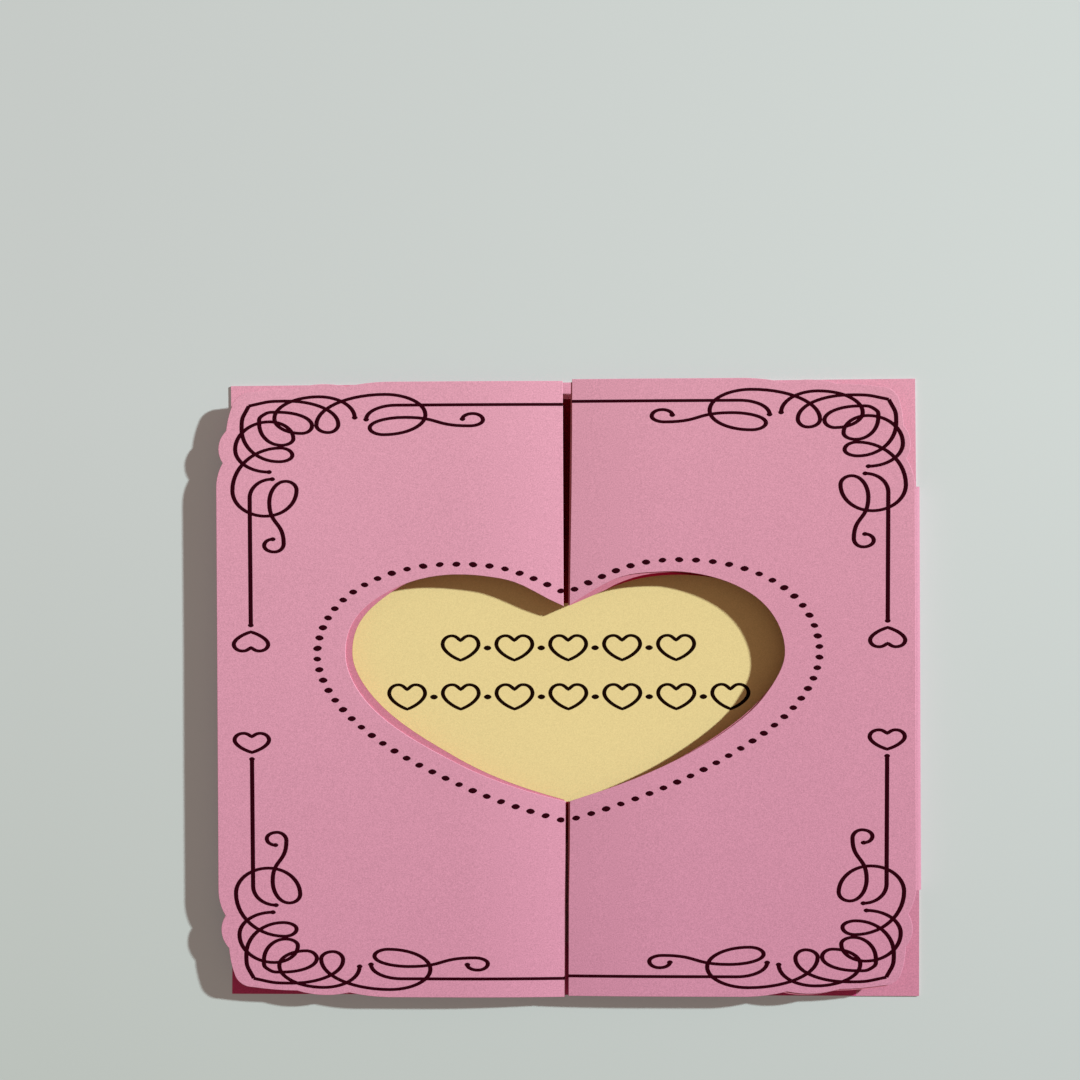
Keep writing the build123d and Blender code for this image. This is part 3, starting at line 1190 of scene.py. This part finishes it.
@dataclass
class PanelPrint:
    """Ink of the cream panel: two rows of hearts with dots between."""

    pen: Pen = field(default_factory=lambda: Pen(width=0.58))
    heart: Heart = Heart(half_width=2.3, top=2.5, cleft=1.5, tip=-2.5)
    centre: float = -1.25
    pitch: float = 11.0
    rows: tuple[tuple[float, int], ...] = ((8.2, 5), (-1.8, 7))
    dot_size: tuple[float, float] = (1.6, 1.05)
    lift: float = 0.012

    def build(self, workshop: Workshop) -> None:
        """Print both rows on the panel.

        Args:
            workshop: Where pieces come from and go to.
        """
        level = workshop.box("inner_panel")[1].z + self.lift
        bm = bmesh.new()
        for y, hearts in self.rows:
            start = self.centre - (hearts - 1) / 2 * self.pitch
            for i in range(hearts):
                place = Matrix.Translation((start + i * self.pitch, y, level))
                self.pen.draw(bm, [self.heart.outline()], place, closed=True)
                if i:
                    between = Matrix.Translation((start + (i - 0.5) * self.pitch, y, level))
                    self.pen.dot(bm, self.dot_size, between)
        bmesh.ops.recalc_face_normals(bm, faces=bm.faces[:])
        workshop.set_piece(bm, "panel_ink", [PANEL_INK], "inner_print")


@dataclass
class Card:
    """The whole card, piece by piece."""

    workshop: Workshop

    def build(self) -> None:
        """Make the paper pieces, then print on them."""
        FoldedBase().build(self.workshop)
        CreamPanel().build(self.workshop)
        left = FrontSheet(Side.LEFT, "left_front_panel", "left_sheet", curl_dip=1.0)
        right = FrontSheet(
            Side.RIGHT, "right_front_panel", "right_sheet", curl_dip=0.5,
            finish=RIGHT_PINK, rim_finish=RIGHT_PINK,
        )
        surfaces = {sheet.side: sheet.build(self.workshop) for sheet in (left, right)}
        FrontPrint().build(self.workshop, surfaces)
        PanelPrint().build(self.workshop)


@dataclass
class Table:
    """Pale floor that the card lies on, with painted light falling off from corner to corner and a
    glow that lifts its shadows.
    """

    radius: float = 3.0  # metres
    clearance: float = 0.00005  # metres
    rounds: int = 64
    roughness: float = 0.9
    sides: tuple[float, float] = (-0.11, 0.11)  # metres, where the left and right tints are
    ends: tuple[float, float] = (-0.10, 0.06)  # metres, where the near and far tints are
    # corner tints that paint the light falling off across the floor
    far_left: Colour = linear(182, 187, 183)
    near_left: Colour = linear(169, 176, 169)
    far_right: Colour = linear(194, 201, 197)
    near_right: Colour = linear(179, 186, 182)
    # emission that lifts the floor's shadows: painted fill light
    glow: tuple[float, float, float] = (0.10, 0.10, 0.10)

    def build(self) -> None:
        """Make the floor, just under the card."""
        bm = bmesh.new()
        below = Matrix.Translation((0, 0, -self.clearance))
        bmesh.ops.create_circle(
            bm, cap_ends=True, segments=self.rounds, radius=self.radius, matrix=below
        )
        mesh = bpy.data.meshes.new("floor")
        bm.to_mesh(mesh)
        bm.free()
        floor = bpy.data.objects.new("floor", mesh)
        bpy.context.scene.collection.objects.link(floor)
        material = bpy.data.materials.new("floor_grey")
        material.use_nodes = True
        feed(
            material.node_tree.nodes["Principled BSDF"],
            {
                "Base Color": self._tint(material.node_tree),
                "Emission Color": (*self.glow, 1.0),
                "Emission Strength": 1.0,
                "Roughness": self.roughness,
                "Specular IOR Level": 0.0,
            },
        )
        mesh.materials.append(material)

    def _tint(self, tree: NodeTree) -> NodeSocket:
        """Shade the floor from corner to corner of the picture.

        Args:
            tree: The floor material's nodes.

        Returns:
            The shaded tint's socket.
        """
        apart = tree.nodes.new("ShaderNodeSeparateXYZ")
        feed(apart, {0: tree.nodes.new("ShaderNodeTexCoord").outputs["Object"]})
        across = share_between(tree, apart.outputs["X"], self.sides)
        upward = share_between(tree, apart.outputs["Y"], self.ends)
        near = mixed_tint(tree, across, self.near_left, self.near_right)
        far = mixed_tint(tree, across, self.far_left, self.far_right)
        return mixed_tint(tree, upward, near, far)


@dataclass
class Lighting:
    """One low lamp from the upper right, and a weak warm light all round."""

    azimuth: float = 23.0  # degrees from the card's right towards its top
    elevation: float = 27.0
    distance: float = 30.0  # metres
    softness: float = 2.2  # degrees that the lamp spans, seen from the card
    fill: tuple[float, float, float] = (0.25, 0.16, 0.125)  # of a level sheet's light
    backdrop: Colour = linear(214, 218, 215)

    def build(self) -> None:
        """Make the lamp and the world."""
        lamp = bpy.data.lights.new("low_lamp", "AREA")
        lamp.shape = "DISK"
        lamp.size = self.distance * math.radians(self.softness)
        rise = math.radians(self.elevation)
        lamp.color = [1 - share for share in self.fill]
        # With the weak light round it, this shows a level sheet about as its colour is written.
        lamp.energy = math.pi**2 * self.distance**2 / math.sin(rise)
        turn = math.radians(self.azimuth)
        level = math.cos(rise)
        way = Vector((math.cos(turn) * level, math.sin(turn) * level, math.sin(rise)))
        holder = bpy.data.objects.new("low_lamp", lamp)
        facing = (-way).to_track_quat("-Z", "Y")
        holder.matrix_world = Matrix.LocRotScale(way * self.distance, facing, None)
        holder.visible_camera = False
        bpy.context.scene.collection.objects.link(holder)
        self._build_world()

    def _build_world(self) -> None:
        """Give the surroundings a weak light and a pale look to the camera."""
        world = bpy.data.worlds.new("surroundings")
        bpy.context.scene.world = world
        world.use_nodes = True
        nodes = world.node_tree.nodes
        soft = nodes["Background"]
        feed(soft, {"Color": (*self.fill, 1.0), "Strength": 1.0})
        pale = nodes.new("ShaderNodeBackground")
        feed(pale, {"Color": self.backdrop})
        camera_sees = nodes.new("ShaderNodeLightPath").outputs["Is Camera Ray"]
        choice = nodes.new("ShaderNodeMixShader")
        feed(choice, {0: camera_sees, 1: soft.outputs[0], 2: pale.outputs[0]})
        feed(nodes["World Output"], {0: choice.outputs[0]})


@dataclass
class Camera:
    """The photographer's place, nearly straight above the card."""

    aim: tuple[float, float, float] = (-6.93, 30.23, 0.3)  # what the picture's middle shows
    distance: float = 450.0
    picture_width: float = 220.7  # at the card
    tilt: float = 2.0  # degrees that the view leans to the card's right
    roll: float = 0.23  # degrees that the card is turned in the picture

    def build(self) -> None:
        """Make the camera and hand it to the scene."""
        lens = bpy.data.cameras.new("view")
        lens.type = "PERSP"
        lens.angle = 2 * math.atan(self.picture_width / 2 / self.distance)
        eye = bpy.data.objects.new("view", lens)
        lean = Matrix.Rotation(math.radians(self.tilt), 4, "Y")
        turn = Matrix.Rotation(math.radians(-self.roll), 4, "Z")
        middle = Matrix.Translation(Vector(self.aim) * MM)
        back = Matrix.Translation(Vector((0, 0, self.distance)) * MM)
        eye.matrix_world = middle @ lean @ turn @ back
        bpy.context.scene.collection.objects.link(eye)
        bpy.context.scene.camera = eye


def main() -> None:
    """Load the frame, make and dress the card, and set the table, light and camera."""
    logging.basicConfig(level=logging.INFO, format="%(name)s: %(message)s")
    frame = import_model()
    Camera().build()
    Card(Workshop(frame["nodes"], Paints())).build()
    Table().build()
    Lighting().build()
    bpy.context.scene.view_settings.view_transform = "Standard"


if __name__ == "__main__":
    main()
